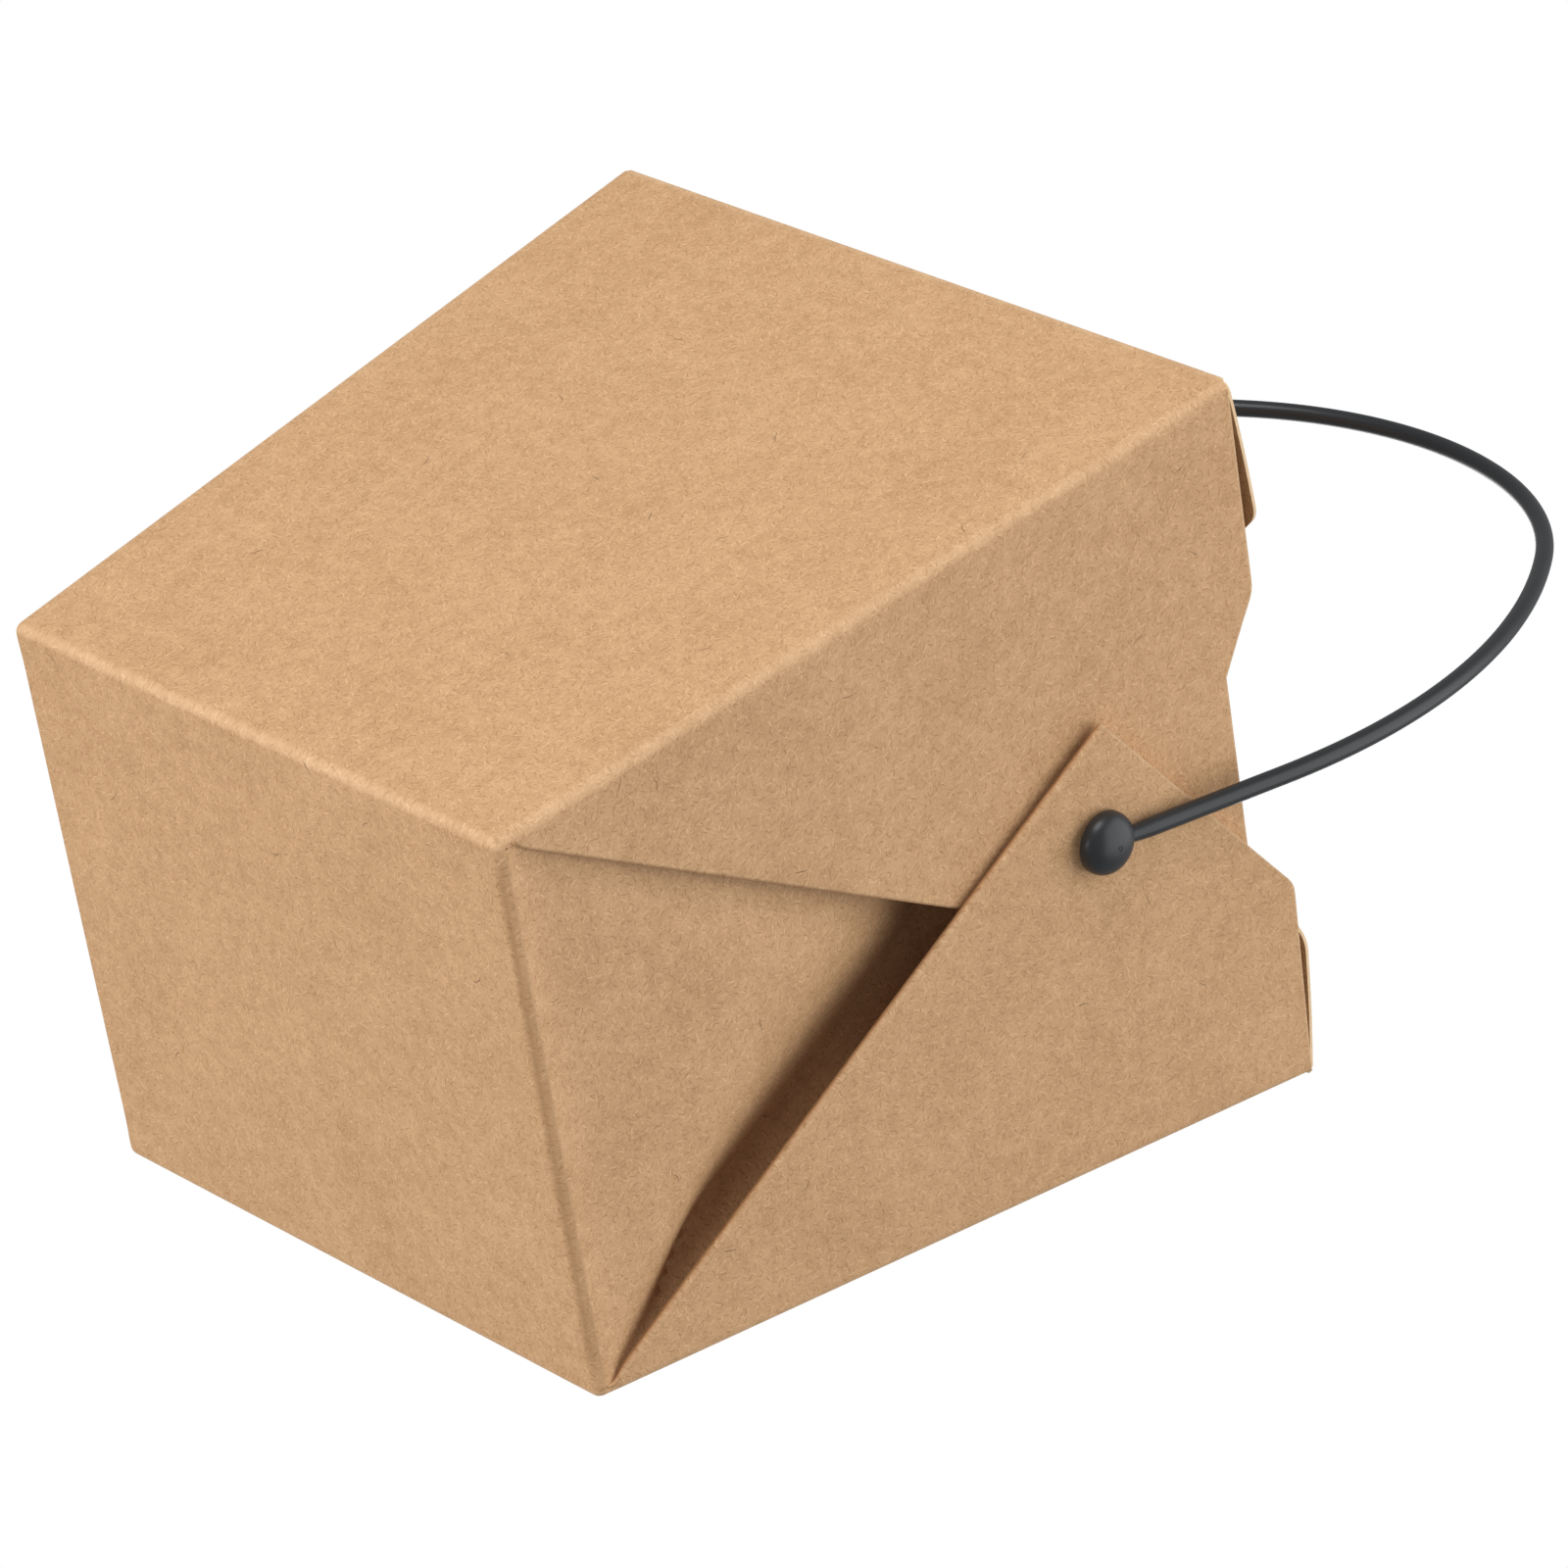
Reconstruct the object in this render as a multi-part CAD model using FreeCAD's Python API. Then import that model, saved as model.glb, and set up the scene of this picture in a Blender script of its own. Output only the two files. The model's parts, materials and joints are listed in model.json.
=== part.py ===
import FreeCAD, Part
import math
import os

from FreeCAD import Rotation, Vector

# Takeout food pail: a carton folded from one sheet of kraft board, with a moulded swinging handle.
# It stands on its bottom. The origin is the centre of the bottom, +Z points to the lid, X runs
# from one gusseted end to the other and Y from one wide wall to the other. Sizes are millimetres.

# Board
board = 0.45
layer_gap = 0.15
flat_fold_radius = 0.25
corner_fold_radius = 1.2
fold_chords = 3
bow_chords = 8

# Outer faces of the carton
bottom_length = 90.0
bottom_width = 77.25
top_length = 108.9
top_width = 98.8
pail_height = 110.8
tray_height = 3.0

# Gussets: the board between a wide wall and an end panel, folded flat over the end panel
crease_angle = 57.6
over_tilt = 1.91
rim_stop = 20.75
over_tip_y = 15.0
under_shelf_y = 11.5
under_shelf_drop = 5.6
under_reach = 15.0
under_tip_y = 11.0
end_margin = 3.0

# End panels, which bow inwards between the creases
panel_step = 0.2
bow_depth = 3.0
ramp_height = 12.0
bow_levels = 5
dust_flap_length = 24.0
dust_flap_width = 86.0
dust_flap_taper = 8.0
dust_flap_slope = 3.0

# Lid flaps
flap_width = 107.6
flap_side_length = 19.4
tongue_width = 85.0
tongue_corner = 6.0
inner_rise_angle = 6.5
outer_rise_angle = 8.0
inner_bow_length = 32.0
outer_bow_length = 38.0
inner_flap_length = 69.4
outer_flap_length = 61.4
hinge_clearance = 0.3
tab_width = 34.0
tab_depth = 11.0
slot_clearance = 0.6
slot_end_clearance = 1.5

# Handle
pivot_height = 81.7
hole_radius = 1.7
neck_clearance = 0.1
face_clearance = 0.3
rod_radius = 1.2
button_radius = 4.2
button_edge = 0.6
button_dome = 1.9
head_radius = 3.0
head_tip_radius = 2.0
head_length = 1.4
handle_reach = 115.6
side_radius = 100.0
widest_reach = 36.5
rest_lean = 7.3

pitch = board + layer_gap
end_lean = math.atan((top_length - bottom_length) / 2 / pail_height)
wall_lean = math.atan((top_width - bottom_width) / 2 / pail_height)
panel_inset = 2 * pitch + board / 2
panel_top = pail_height - under_shelf_drop
wall_inset = board / 2
hinge_height = pail_height + hinge_clearance + board / 2
across = Vector(1, 0, 0)
up = Vector(0, 0, 1)


def end_x(z):
    """Outer face of an end at height z."""
    return bottom_length / 2 + z * math.tan(end_lean)


def wall_y(z):
    """Outer face of a wide wall at height z."""
    return bottom_width / 2 + z * math.tan(wall_lean)


def crease_y(z):
    """Where the gusset crease from the +Y bottom corner crosses height z."""
    return bottom_width / 2 - z / math.cos(end_lean) / math.tan(math.radians(crease_angle))


def crease_z(y):
    """Height at which that crease reaches y."""
    return (bottom_width / 2 - y) * math.tan(math.radians(crease_angle)) * math.cos(end_lean)


def heading(start, end):
    """Unit vector from start to end."""
    step = end - start
    return step * (1 / step.Length)


def path_points(points, radii, normal, shift, chords):
    """Points along a path of straight runs and rounded corners, moved to its left by shift."""
    found = [points[0] + normal.cross(heading(points[0], points[1])) * shift]
    for before, corner, after, radius in zip(points, points[1:], points[2:], radii):
        run_in = heading(before, corner)
        run_out = heading(corner, after)
        left_in = normal.cross(run_in)
        turn = math.copysign(run_in.getAngle(run_out), left_in.dot(run_out))
        sense = math.copysign(1.0, turn)
        centre = corner - run_in * radius * math.tan(abs(turn) / 2) + left_in * radius * sense
        spoke = left_in * (shift - radius * sense)
        for step in range(chords + 1):
            turned = Rotation(normal, math.degrees(turn) * step / chords).multVec(spoke)
            found.append(centre + turned)
    found.append(points[-1] + normal.cross(heading(points[-2], points[-1])) * shift)
    return found


def board_outline(points, radii, normal, chords):
    """Corners of the outline of a strip of board that follows the path."""
    left = path_points(points, radii, normal, board / 2, chords)
    right = path_points(points, radii, normal, -board / 2, chords)
    return left + right[::-1]


def flat_face(points):
    """Flat face inside a closed polygon."""
    return Part.Face(Part.makePolygon(points + points[:1]))


def stack(outlines):
    """Solid through a pile of outlines with parallel edges, which makes every side flat."""
    faces = [flat_face(outlines[0]), flat_face(outlines[-1])]
    for low, high in zip(outlines, outlines[1:]):
        for i in range(len(low)):
            faces.append(flat_face([low[i - 1], low[i], high[i], high[i - 1]]))
    skin = Part.makeShell(faces)
    skin.sewShape()
    return Part.Solid(skin)


def prism(points, direction):
    """Solid swept from a polygon along direction."""
    return flat_face(points).extrude(direction)


def mirror_x(shape):
    """The same piece at the other end."""
    return shape.mirror(Vector(0, 0, 0), Vector(1, 0, 0))


def mirror_y(shape):
    """The same piece on the other wide side."""
    return shape.mirror(Vector(0, 0, 0), Vector(0, 1, 0))


def wall_section(z, tilt):
    """Outline at height z of the +Y wall, the two layers of its gussets and their folds."""
    corner_x = end_x(z) - wall_inset
    corner_y = wall_y(z) - wall_inset
    fold_y = crease_y(z) + board / 2
    turn_y = corner_y - corner_fold_radius
    rise = math.tan(math.radians(tilt))
    half = [
        Vector(corner_x - 2 * pitch, corner_y - end_margin, z),
        Vector(corner_x - 2 * pitch, turn_y, z),
        Vector(corner_x - pitch, turn_y, z),
        Vector(corner_x - pitch + (turn_y - fold_y) * rise, fold_y, z),
        Vector(corner_x + (corner_y - fold_y) * rise, fold_y, z),
        Vector(corner_x, corner_y, z),
    ]
    other_half = [Vector(-p.x, p.y, p.z) for p in reversed(half)]
    radii = [flat_fold_radius] * 4 + [corner_fold_radius] * 2 + [flat_fold_radius] * 4
    return board_outline(half + other_half, radii, Vector(0, 0, 1), fold_chords)


def wall(tilt, free_edge):
    """The +Y wall with its gussets, whose free edge runs from the rim to the crease as (y, z)."""
    low = wall_section(tray_height, tilt)
    high = wall_section(pail_height, tilt)
    sheet = stack([low, high])
    edge = [Vector(-top_length, y, z) for y, z in free_edge]
    past_crease = edge[-1] + heading(edge[-2], edge[-1]) * board
    above = 2 * pail_height
    corners = [
        Vector(-top_length, edge[0].y, above),
        *edge[:-1],
        past_crease,
        Vector(-top_length, -top_width, past_crease.z),
        Vector(-top_length, -top_width, above),
    ]
    return sheet.cut(prism(corners, across * 2 * top_length))


def over_wall():
    """The +Y wall, whose gussets lie outermost and end in a slanted edge."""
    free_edge = [(rim_stop, pail_height), (-over_tip_y, crease_z(-over_tip_y))]
    return wall(over_tilt, free_edge)


def under_wall():
    """The -Y wall, whose gussets lie under the others and end in a shelf below the rim."""
    shelf_z = pail_height - under_shelf_drop
    free_edge = [
        (rim_stop, pail_height),
        (under_shelf_y, shelf_z),
        (-under_reach, shelf_z),
        (-under_tip_y, crease_z(-under_tip_y)),
    ]
    return mirror_y(wall(0.0, free_edge))


def ring(z, inset, radius):
    """Level outline with round corners, inside the carton's outer faces by inset."""
    points = []
    for quarter, (side_x, side_y) in enumerate([(1, 1), (-1, 1), (-1, -1), (1, -1)]):
        x = side_x * (end_x(z) - inset - radius)
        y = side_y * (wall_y(z) - inset - radius)
        for step in range(fold_chords + 1):
            angle = math.pi / 2 * (quarter + step / fold_chords)
            points.append(Vector(x + radius * math.cos(angle), y + radius * math.sin(angle), z))
    return points


def bowl(inset, top):
    """Block with round bottom folds and corners, inside the carton's outer faces by inset."""
    radius = corner_fold_radius + wall_inset - inset
    rings = []
    for step in range(fold_chords + 1):
        angle = math.pi / 2 * step / fold_chords
        z = inset + radius * (1 - math.cos(angle))
        sharpest = radius * math.sin(math.pi / 4 / fold_chords)
        corner = max(sharpest, radius * math.sin(angle))
        rings.append(ring(z, inset + radius * (1 - math.sin(angle)), corner))
    return stack(rings + [ring(top, inset, radius)])


def tray():
    """The bottom with the folds around it."""
    return bowl(0.0, tray_height).cut(bowl(board, tray_height + board))


def bow(z):
    """How far the middle of an end panel stands inside its straight line at height z."""
    share = (z - tray_height) / (pivot_height - tray_height)
    if share <= 0 or share >= 1:
        return 0.0
    return bow_depth * math.sin(math.pi * share) ** 2


def panel_section(z):
    """Outline of the +X end panel at height z."""
    ramp = min(1.0, (z - tray_height) / ramp_height)
    outer_x = end_x(z) - (2 * pitch + panel_step) * ramp
    half = wall_y(z) - wall_inset - 2 * pitch - board
    middle_x = outer_x - bow(z)
    edges = []
    for shift, sense in ((0.0, 1), (board, -1)):
        ends = [Vector(outer_x - shift, -half * sense, z), Vector(outer_x - shift, half * sense, z)]
        if bow(z) > layer_gap:
            edges.append(Part.Arc(ends[0], Vector(middle_x - shift, 0, z), ends[1]).toShape())
        else:
            edges.append(Part.LineSegment(*ends).toShape())
        edges.append(Part.LineSegment(ends[1], Vector(outer_x - board + shift, half * sense, z)).toShape())
    return Part.Wire(edges)


def end_panel():
    """The +X end panel from the bottom fold to the fold of its dust flap."""
    ramp_top = tray_height + ramp_height
    heights = [tray_height, ramp_top]
    for level in range(1, bow_levels + 1):
        heights.append(ramp_top + (pivot_height - ramp_top) * level / bow_levels)
    heights.append(panel_top)
    return Part.makeLoft([panel_section(z) for z in heights], True, True)


def strip(points, radii, normal, width):
    """Board that follows a path, width wide and centred on it."""
    face = flat_face(board_outline(points, radii, normal, bow_chords))
    face.translate(normal * (-width / 2))
    return face.extrude(normal * width)


def dust_flap():
    """The +X dust flap, folded in from the top of its end panel."""
    root_x = end_x(panel_top) - panel_inset
    tip_x = root_x - dust_flap_length
    drop = dust_flap_length * math.tan(math.radians(dust_flap_slope))
    path = [
        Vector(end_x(panel_top - pitch) - panel_inset, 0, panel_top - pitch),
        Vector(root_x, 0, panel_top),
        Vector(tip_x, 0, panel_top - drop),
    ]
    flap = strip(path, [flat_fold_radius], Vector(0, 1, 0), dust_flap_width)
    root_y = dust_flap_width / 2
    tip_y = root_y - dust_flap_taper
    outline = [
        Vector(root_x + board, -root_y, 0),
        Vector(root_x + board, root_y, 0),
        Vector(root_x - board, root_y, 0),
        Vector(tip_x, tip_y, 0),
        Vector(tip_x, -tip_y, 0),
        Vector(root_x - board, -root_y, 0),
    ]
    return flap.common(prism(outline, up * pail_height))


def flap_outline(length):
    """Plan outline of a lid flap hinged on the +Y side, seen from above."""
    hinge_y = wall_y(pail_height)
    tip_y = hinge_y - length
    side_y = hinge_y - flap_side_length
    wide = flap_width / 2
    narrow = tongue_width / 2
    shoulder_y = side_y - (wide - narrow)
    half = [
        (wide, hinge_y + board),
        (wide, side_y),
        (narrow, shoulder_y),
        (narrow, tip_y + tongue_corner),
        (narrow - tongue_corner, tip_y),
    ]
    points = [Vector(x, y, 0) for x, y in half] + [Vector(-x, y, 0) for x, y in reversed(half)]
    return prism(points, up * 2 * pail_height)


def flap_path(root_z, rise_angle, bow_length, length):
    """Path of a lid flap from its hinge: it rises from the rim and bows over to level."""
    hinge_y = wall_y(pail_height) - wall_inset
    crest = bow_length / 2
    level = root_z + crest * math.tan(math.radians(rise_angle))
    tip_y = wall_y(pail_height) - length
    return [Vector(0, hinge_y, root_z), Vector(0, hinge_y - crest, level), Vector(0, tip_y, level)]


def bow_radius(rise_angle, bow_length):
    """Radius that spreads the bow nearly to the hinge."""
    reach = bow_length / 2 - pitch
    return reach / math.tan(math.radians(rise_angle) / 2)


def tab_line(height):
    """The Y at which the locking tab stands at a height, on the -Y flap hinged below zero Y."""
    hinge_y = wall_y(pail_height) - wall_inset
    radius = outer_flap_length - wall_inset
    below = hinge_height - height
    return math.sqrt(radius ** 2 - below ** 2) - hinge_y


def inner_flap():
    """The +Y lid flap, which closes first, with the slot for the other flap's tab."""
    root = flap_path(pail_height - board / 2, inner_rise_angle, inner_bow_length, inner_flap_length)
    wall_top = Vector(0, wall_y(pail_height - pitch) - wall_inset, pail_height - pitch)
    radius = bow_radius(inner_rise_angle, inner_bow_length)
    flap = strip([wall_top] + root, [flat_fold_radius, radius], across, flap_width)
    flap = flap.common(flap_outline(inner_flap_length))
    level = root[-1].z
    slot_width = board + 2 * slot_clearance
    slot_length = tab_width + 2 * slot_end_clearance
    slot = Part.makeBox(slot_length, slot_width, 4 * pitch)
    slot.translate(Vector(-slot_length / 2, tab_line(level) - slot_width / 2, level - 2 * pitch))
    return flap.cut(slot)


def carton():
    """The folded sheet: bottom, walls, gussets, end panels, dust flaps and the inner lid flap."""
    pieces = [under_wall(), inner_flap()]
    for panel in (end_panel(), dust_flap()):
        pieces += [panel, mirror_x(panel)]
    sheet = tray().fuse([over_wall()] + pieces)
    holes = Part.makeCylinder(hole_radius, 2 * top_length, Vector(-top_length, 0, pivot_height), across)
    return sheet.cut(holes).removeSplitter()


def lid_flap():
    """The -Y lid flap, which closes last, with its hinge bead and locking tab."""
    path = flap_path(hinge_height, outer_rise_angle, outer_bow_length, outer_flap_length)
    radius = bow_radius(outer_rise_angle, outer_bow_length)
    plate = strip(path, [radius], across, flap_width).common(flap_outline(outer_flap_length))
    bead_start = Vector(-flap_width / 2, path[0].y, path[0].z)
    bead = Part.makeCylinder(board / 2, flap_width, bead_start, across)
    level = path[-1].z
    fold = Vector(0, -tab_line(level), level)
    tip = Vector(0, -tab_line(level - tab_depth), level - tab_depth)
    lead = Vector(0, fold.y + tongue_corner, level)
    tab = strip([lead, fold, tip], [flat_fold_radius], across, tab_width)
    return mirror_y(plate.fuse([bead, tab]).removeSplitter())


def face_offset():
    """Outer face of the layers at the pivot."""
    reach = wall_y(pivot_height)
    return end_x(pivot_height) + reach * math.tan(math.radians(over_tilt))


def leg_lean():
    """Lean of the handle's legs, in line with the end face and the tilt of its gusset."""
    return math.atan(math.hypot(math.tan(end_lean), math.tan(math.radians(over_tilt))))


def bend(centre, radius, start_angle, end_angle):
    """Round rod along an arc in the XZ plane, with angles measured from +X towards +Z."""
    out = Vector(math.cos(start_angle), 0, math.sin(start_angle))
    along = Vector(-math.sin(start_angle), 0, math.cos(start_angle))
    start = centre + out * radius
    section = Part.Face(Part.Wire(Part.makeCircle(rod_radius, start, along)))
    return section.revolve(centre, Vector(0, -1, 0), math.degrees(end_angle - start_angle))


def handle_rod():
    """The round rod in its upright position: two legs, two side bends and the crown."""
    lean = leg_lean()
    leg_x = face_offset() + face_clearance + rod_radius / math.cos(lean)
    leg_top = widest_reach - side_radius * math.sin(lean)
    widest_x = leg_x + leg_top * math.tan(lean) + side_radius * (1 - math.cos(lean))
    sideways = side_radius - widest_x
    below = widest_reach + side_radius - handle_reach
    crown_radius = side_radius - (sideways ** 2 + below ** 2) / (2 * below)
    crown_z = handle_reach - crown_radius
    shoulder = math.atan2(crown_z - widest_reach, sideways)
    foot = Vector(leg_x, 0, 0)
    leg_run = Vector(math.sin(lean), 0, math.cos(lean))
    leg = Part.makeCylinder(rod_radius, leg_top / math.cos(lean), foot, leg_run)
    side = bend(Vector(-sideways, 0, widest_reach), side_radius, -lean, shoulder)
    crown = bend(Vector(0, 0, crown_z), crown_radius, shoulder, math.pi - shoulder)
    return crown.fuse([leg, side, mirror_x(leg), mirror_x(side)])


def button():
    """The +X button: domed outer face, neck through the layers and head that snapped in behind them."""
    lean = math.tan(leg_lean())
    seat = face_offset() + face_clearance
    edge_x = seat + button_radius * lean
    lip_x = edge_x + button_edge
    crown_x = lip_x + button_dome - button_radius * lean
    inner_face = end_x(pivot_height) - 2 * pitch - panel_step - board
    head_x = inner_face - head_radius * math.tan(end_lean) - face_clearance
    tip_x = head_x - head_length
    lip = Vector(lip_x, button_radius, 0)
    crown = Vector(crown_x, 0, 0)
    sag = crown_x - lip_x
    dome_radius = (button_radius ** 2 + sag ** 2) / (2 * sag)
    half_angle = math.asin(button_radius / dome_radius) / 2
    dome_side = math.sin(half_angle) * dome_radius
    dome_middle = Vector(crown_x - dome_radius * (1 - math.cos(half_angle)), dome_side, 0)
    profile = [
        Vector(tip_x, 0, 0),
        Vector(tip_x, head_tip_radius, 0),
        Vector(head_x, head_radius, 0),
        Vector(head_x, hole_radius - neck_clearance, 0),
        Vector(seat, hole_radius - neck_clearance, 0),
        Vector(edge_x, button_radius, 0),
        lip,
    ]
    edges = [Part.LineSegment(a, b).toShape() for a, b in zip(profile, profile[1:])]
    edges.append(Part.Arc(lip, dome_middle, crown).toShape())
    edges.append(Part.LineSegment(crown, profile[0]).toShape())
    return Part.Face(Part.Wire(edges)).revolve(Vector(0, 0, 0), across, 360)


def handle():
    """The moulded handle at rest, leaning from upright towards +Y."""
    buttons = [button(), mirror_x(button())]
    moulding = handle_rod().fuse(buttons)
    moulding.rotate(Vector(0, 0, 0), across, -rest_lean)
    moulding.translate(up * pivot_height)
    return moulding


def main():
    """Writes each piece to its own file."""
    os.makedirs("parts", exist_ok=True)
    for name, piece in (("carton", carton()), ("lid_flap", lid_flap()), ("handle", handle())):
        piece.exportStep("parts/" + name + ".step")


main()
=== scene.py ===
import json
import math

import bmesh
import bpy
import numpy as np
from bpy.props import FloatProperty, IntProperty, PointerProperty, StringProperty
from bpy.types import Operator, Panel, PropertyGroup
from mathutils import Matrix, Vector
from mathutils.geometry import delaunay_2d_cdt

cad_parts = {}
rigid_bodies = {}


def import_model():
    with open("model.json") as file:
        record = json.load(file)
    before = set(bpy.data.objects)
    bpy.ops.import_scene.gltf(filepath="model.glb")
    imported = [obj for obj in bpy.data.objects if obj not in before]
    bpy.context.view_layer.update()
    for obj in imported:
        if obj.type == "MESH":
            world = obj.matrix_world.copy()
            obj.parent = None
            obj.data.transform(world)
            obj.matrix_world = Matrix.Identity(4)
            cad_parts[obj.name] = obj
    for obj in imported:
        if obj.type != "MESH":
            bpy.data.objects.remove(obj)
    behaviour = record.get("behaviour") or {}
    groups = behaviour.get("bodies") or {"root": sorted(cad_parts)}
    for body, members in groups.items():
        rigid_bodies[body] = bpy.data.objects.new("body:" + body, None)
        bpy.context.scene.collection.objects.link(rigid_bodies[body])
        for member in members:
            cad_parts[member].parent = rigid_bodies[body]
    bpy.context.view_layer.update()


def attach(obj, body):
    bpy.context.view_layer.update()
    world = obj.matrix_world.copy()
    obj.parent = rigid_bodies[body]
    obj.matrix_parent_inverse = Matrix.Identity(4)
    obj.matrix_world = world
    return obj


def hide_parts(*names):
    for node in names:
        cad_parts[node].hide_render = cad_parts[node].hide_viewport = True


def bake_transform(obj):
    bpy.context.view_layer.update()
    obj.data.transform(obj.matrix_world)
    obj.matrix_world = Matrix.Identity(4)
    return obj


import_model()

bl_info = {
    "name": "Takeout Food Pail",
    "version": (1, 0, 0),
    "blender": (4, 5, 0),
    "location": "View3D > Sidebar > Food Pail",
    "description": "Builds a folded kraft board food pail with a moulded swinging handle",
    "category": "Add Mesh",
}

# Lengths below are millimetres in the pail's own frame: origin at the middle of the bottom, +Z to
# the lid, X from one gusseted end to the other, Y from one wide wall to the other.
MM = 0.001
BOTTOM = np.array([90.0, 77.25])
TOP = np.array([108.9, 98.8])
HEIGHT = 110.8
PITCH = 0.6
CREASE_ANGLE = math.radians(57.6)
OVER_TILT = math.radians(1.91)
RIM_STOP = 20.75
OVER_TIP_Y = 15.0
SHELF_Y = 11.5
SHELF_DROP = 5.6
UNDER_REACH = 15.0
UNDER_TIP_Y = 11.0
CORNER_RADIUS = 1.2
BOTTOM_FOLD_RADIUS = 1.2
PIVOT_HEIGHT = 81.7
PANEL_TOP = HEIGHT - SHELF_DROP
RIM_FOLD = 0.6

FLAP_HALF = 53.8
FLAP_SIDE = 19.4
TONGUE_HALF = 42.5
TONGUE_CORNER = 6.0
INNER_LENGTH = 69.4
INNER_LEVEL = 113.0
INNER_RUN = 32.0
OUTER_LENGTH = 61.4
OUTER_LEVEL = 114.0
OUTER_RUN = 38.0
HINGE_Z = 111.325
TAB_HALF = 17.0
TAB_DEPTH = 11.0
DUST_LENGTH = 24.0
DUST_HALF = 43.0
DUST_TAPER = 8.0
DUST_DROP = 1.26

END_LEAN = math.atan((TOP[0] - BOTTOM[0]) / 2 / HEIGHT)
WALL_LEAN = math.atan((TOP[1] - BOTTOM[1]) / 2 / HEIGHT)


def linear(hex_colour):
    """Linear RGBA of an sRGB hex colour."""
    parts = [int(hex_colour[i:i + 2], 16) / 255 for i in (1, 3, 5)]
    return [c / 12.92 if c <= 0.04045 else ((c + 0.055) / 1.055) ** 2.4 for c in parts] + [1.0]


def end_x(z):
    """Outer face of an end at height z."""
    return BOTTOM[0] / 2 + z * math.tan(END_LEAN)


def wall_y(z):
    """Outer face of a wide wall at height z."""
    return BOTTOM[1] / 2 + z * math.tan(WALL_LEAN)


def crease_y(z):
    """Where a gusset crease crosses height z, on the +Y side."""
    return BOTTOM[1] / 2 - z / math.cos(END_LEAN) / math.tan(CREASE_ANGLE)


def crease_z(y):
    """Height at which that crease reaches y."""
    return (BOTTOM[1] / 2 - y) * math.tan(CREASE_ANGLE) * math.cos(END_LEAN)


def ease(value):
    """Smooth step from 0 to 1."""
    t = np.clip(value, 0.0, 1.0)
    return t * t * (3 - 2 * t)


def rounded(corners, radii, chords):
    """Paths with round corners, for every level at once: corners is a list of (levels, 2) arrays."""
    found = [corners[0]]
    for before, corner, after, radius in zip(corners, corners[1:], corners[2:], radii):
        run_in = corner - before
        run_in = run_in / np.linalg.norm(run_in, axis=1, keepdims=True)
        run_out = after - corner
        run_out = run_out / np.linalg.norm(run_out, axis=1, keepdims=True)
        left = np.stack([-run_in[:, 1], run_in[:, 0]], 1)
        turn = np.arctan2((left * run_out).sum(1), (run_in * run_out).sum(1))
        side = np.sign(turn)[:, None]
        radius = np.broadcast_to(radius, turn.shape)[:, None]
        centre = corner - run_in * radius * np.tan(abs(turn) / 2)[:, None] + left * radius * side
        for step in range(chords + 1):
            angle = (turn * step / chords)[:, None]
            spoke = -left * radius * side
            across = np.stack([-spoke[:, 1], spoke[:, 0]], 1)
            found.append(centre + spoke * np.cos(angle) + across * np.sin(angle))
    found.append(corners[-1])
    return found


def between(start, end, fractions):
    """Points from start to end, for every level at once, without the two ends."""
    return [start + (end - start) * f for f in fractions]


def board_object(name, points, faces, flat, wear_and_edge_highlight, painted_shade, settings, materials):
    """A piece of board: a sheet through the middle of the board, thickened to both sides."""
    mesh = bpy.data.meshes.new(name)
    mesh.from_pydata([Vector(p) * MM for p in points], [], faces)
    layer = mesh.uv_layers.new(name="flat")
    corner_vertex = np.zeros(len(mesh.loops), int)
    mesh.loops.foreach_get("vertex_index", corner_vertex)
    layer.data.foreach_set("uv", np.asarray(flat, np.float32)[corner_vertex].ravel())
    for label, values in (("wear_and_edge_highlight", wear_and_edge_highlight), ("painted_shade", painted_shade)):
        mesh.attributes.new(label, "FLOAT", "POINT").data.foreach_set("value", np.asarray(values, np.float32))
    sheet = bmesh.new()
    sheet.from_mesh(mesh)
    bmesh.ops.remove_doubles(sheet, verts=sheet.verts, dist=2e-7)
    bmesh.ops.dissolve_degenerate(sheet, edges=sheet.edges, dist=2e-7)
    sheet.to_mesh(mesh)
    sheet.free()
    piece = bpy.data.objects.new(name, mesh)
    bpy.context.scene.collection.objects.link(piece)
    for material in materials:
        mesh.materials.append(material)
    thick = piece.modifiers.new("board", "SOLIDIFY")
    thick.thickness = settings.thickness
    thick.offset = 0.0
    thick.use_even_offset = False
    thick.use_quality_normals = True
    thick.material_offset_rim = 1
    return settle(piece)


def settle(piece, sharp_angle=38.0):
    """Applies the modifiers and shades smooth up to the sharp angle."""
    depsgraph = bpy.context.evaluated_depsgraph_get()
    depsgraph.update()
    final = bpy.data.meshes.new_from_object(piece.evaluated_get(depsgraph), depsgraph=depsgraph)
    piece.modifiers.clear()
    piece.data = final
    final.shade_smooth()
    final.set_sharp_from_angle(angle=math.radians(sharp_angle))
    return piece


def lower_of(first, second, blend):
    """The lower of two lines, with the corner between them rounded over the blend length."""
    share = np.clip(0.5 + 0.5 * (second - first) / blend, 0.0, 1.0)
    return second + (first - second) * share - blend * share * (1 - share)


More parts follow.
